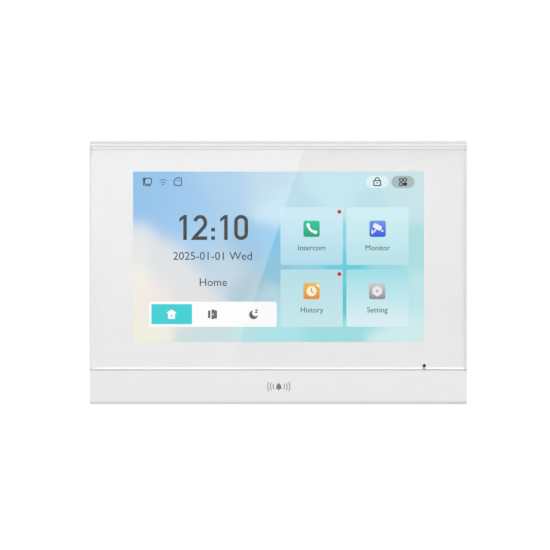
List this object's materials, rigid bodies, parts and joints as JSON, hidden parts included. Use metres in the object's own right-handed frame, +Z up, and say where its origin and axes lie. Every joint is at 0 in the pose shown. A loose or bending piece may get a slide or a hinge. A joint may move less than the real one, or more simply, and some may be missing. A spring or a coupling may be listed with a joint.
{
  "type": "video intercom monitor",
  "caption": "Wall-hung touch-screen indoor monitor of a video door intercom, on a steel hook plate, with rear connector bay, loudspeaker, microphone and memory card slot.",
  "frame": {"origin": "centre of the wall plate's face that lies on the wall", "axes": "+X to the viewer's right, +Z up, +Y into the wall; the glass faces -Y"},
  "size_m": [0.2, 0.022, 0.1396],
  "materials": {
    "glass": "clear, polished",
    "touch_sensor": "clear film",
    "screen": "lit display with a soft blue-to-cream picture",
    "white_plastic": "satin white",
    "steel": "zinc plated",
    "screw_zinc": "bright zinc",
    "tape": "white foam tape",
    "board": "green solder mask",
    "black_plastic": "moulded, black",
    "green_plastic": "moulded, green",
    "cream_plastic": "moulded, cream",
    "brass": "plated",
    "flex": "amber polyimide film",
    "film": "white optical film",
    "label": "silver film, blank",
    "aluminium": "can",
    "rubber": "soft, black",
    "lead": "insulated wire"
  },
  "bodies": {
    "plate": {"wall_plate": "steel"},
    "monitor": {"cover_glass": "glass", "touch_film": "touch_sensor", "lcd_cell": "screen", "front_frame": "white_plastic", "rear_cover": "white_plastic", "lcd_tray": "steel", "shield_can": "steel", "card_holder": "steel", "reset_switch": "steel", "speaker_magnet": "steel", "case_screw_1": "screw_zinc", "case_screw_2": "screw_zinc", "case_screw_3": "screw_zinc", "case_screw_4": "screw_zinc", "board_screw_1": "screw_zinc", "board_screw_2": "screw_zinc", "board_screw_3": "screw_zinc", "board_screw_4": "screw_zinc", "glass_tape": "tape", "main_board": "board", "network_jack": "black_plastic", "power_choke": "black_plastic", "speaker_basket": "black_plastic", "speaker_cone": "black_plastic", "power_header": "green_plastic", "bell_header": "green_plastic", "display_connector": "cream_plastic", "touch_connector": "cream_plastic", "jack_contacts": "brass", "display_ribbon": "flex", "touch_ribbon": "flex", "antenna_strip": "flex", "diffuser_film": "film", "light_guide": "film", "led_bar": "film", "rating_label": "label", "capacitor_1": "aluminium", "capacitor_2": "aluminium", "microphone": "aluminium", "speaker_gasket": "rubber", "mic_boot": "rubber", "mic_lead": "lead", "speaker_lead": "lead"},
    "power_plug_body": {"power_plug": "green_plastic"},
    "bell_plug_body": {"bell_plug": "green_plastic"},
    "memory_card": {"memory_card": "black_plastic"},
    "reset_plunger": {"reset_plunger": "black_plastic"},
    "display_latch": {"display_latch": "black_plastic"},
    "touch_latch": {"touch_latch": "black_plastic"},
    "power_clamp_1": {"power_clamp_1": "brass"},
    "power_clamp_2": {"power_clamp_2": "brass"},
    "bell_clamp_1": {"bell_clamp_1": "brass"},
    "bell_clamp_2": {"bell_clamp_2": "brass"},
    "bell_clamp_3": {"bell_clamp_3": "brass"},
    "power_clamp_screw_1": {"power_clamp_screw_1": "screw_zinc"},
    "power_clamp_screw_2": {"power_clamp_screw_2": "screw_zinc"},
    "bell_clamp_screw_1": {"bell_clamp_screw_1": "screw_zinc"},
    "bell_clamp_screw_2": {"bell_clamp_screw_2": "screw_zinc"},
    "bell_clamp_screw_3": {"bell_clamp_screw_3": "screw_zinc"}
  },
  "joints": [
    {"name": "lift_off_hooks", "type": "slide", "parent": "plate", "child": "monitor", "axis": [0, 0, 1], "range_m": [0, 0.0065]},
    {"name": "power_plug_pull", "type": "slide", "parent": "monitor", "child": "power_plug_body", "axis": [0, 0, -1], "range_m": [0, 0.009]},
    {"name": "power_clamp_rise_1", "type": "slide", "parent": "power_plug_body", "child": "power_clamp_1", "axis": [0, 1, 0], "range_m": [0, 0.0012]},
    {"name": "power_screw_turn_1", "type": "hinge", "parent": "power_plug_body", "child": "power_clamp_screw_1", "pos_m": [-0.01191, -0.0043, -0.021], "axis": [0, -1, 0], "range_deg": [0, 1081]},
    {"name": "power_clamp_rise_2", "type": "slide", "parent": "power_plug_body", "child": "power_clamp_2", "axis": [0, 1, 0], "range_m": [0, 0.0012]},
    {"name": "power_screw_turn_2", "type": "hinge", "parent": "power_plug_body", "child": "power_clamp_screw_2", "pos_m": [-0.00809, -0.0043, -0.021], "axis": [0, -1, 0], "range_deg": [0, 1081]},
    {"name": "bell_plug_pull", "type": "slide", "parent": "monitor", "child": "bell_plug_body", "axis": [0, 0, -1], "range_m": [0, 0.009]},
    {"name": "bell_clamp_rise_1", "type": "slide", "parent": "bell_plug_body", "child": "bell_clamp_1", "axis": [0, 1, 0], "range_m": [0, 0.0012]},
    {"name": "bell_screw_turn_1", "type": "hinge", "parent": "bell_plug_body", "child": "bell_clamp_screw_1", "pos_m": [0.01019, -0.0043, -0.021], "axis": [0, -1, 0], "range_deg": [0, 1081]},
    {"name": "bell_clamp_rise_2", "type": "slide", "parent": "bell_plug_body", "child": "bell_clamp_2", "axis": [0, 1, 0], "range_m": [0, 0.0012]},
    {"name": "bell_screw_turn_2", "type": "hinge", "parent": "bell_plug_body", "child": "bell_clamp_screw_2", "pos_m": [0.014, -0.0043, -0.021], "axis": [0, -1, 0], "range_deg": [0, 1081]},
    {"name": "bell_clamp_rise_3", "type": "slide", "parent": "bell_plug_body", "child": "bell_clamp_3", "axis": [0, 1, 0], "range_m": [0, 0.0012]},
    {"name": "bell_screw_turn_3", "type": "hinge", "parent": "bell_plug_body", "child": "bell_clamp_screw_3", "pos_m": [0.01781, -0.0043, -0.021], "axis": [0, -1, 0], "range_deg": [0, 1081]},
    {"name": "card_slide", "type": "slide", "parent": "monitor", "child": "memory_card", "axis": [1, 0, 0], "range_m": [-0.0008, 0.0155]},
    {"name": "reset_press", "type": "slide", "parent": "monitor", "child": "reset_plunger", "axis": [-1, 0, 0], "range_m": [0, 0.0003], "stiffness_N_per_m": 1000, "springref_m": -0.0005},
    {"name": "display_latch_flip", "type": "hinge", "parent": "monitor", "child": "display_latch", "pos_m": [0.068, -0.0124, -0.0349], "axis": [1, 0, 0], "range_deg": [0, 90]},
    {"name": "touch_latch_flip", "type": "hinge", "parent": "monitor", "child": "touch_latch", "pos_m": [-0.061, -0.0124, -0.0349], "axis": [1, 0, 0], "range_deg": [0, 90]}
  ],
  "couplings": [
    {"joint": "power_screw_turn_1", "follows": "power_clamp_rise_1", "rad_per_m": 15708},
    {"joint": "power_screw_turn_2", "follows": "power_clamp_rise_2", "rad_per_m": 15708},
    {"joint": "bell_screw_turn_1", "follows": "bell_clamp_rise_1", "rad_per_m": 15708},
    {"joint": "bell_screw_turn_2", "follows": "bell_clamp_rise_2", "rad_per_m": 15708},
    {"joint": "bell_screw_turn_3", "follows": "bell_clamp_rise_3", "rad_per_m": 15708}
  ]
}
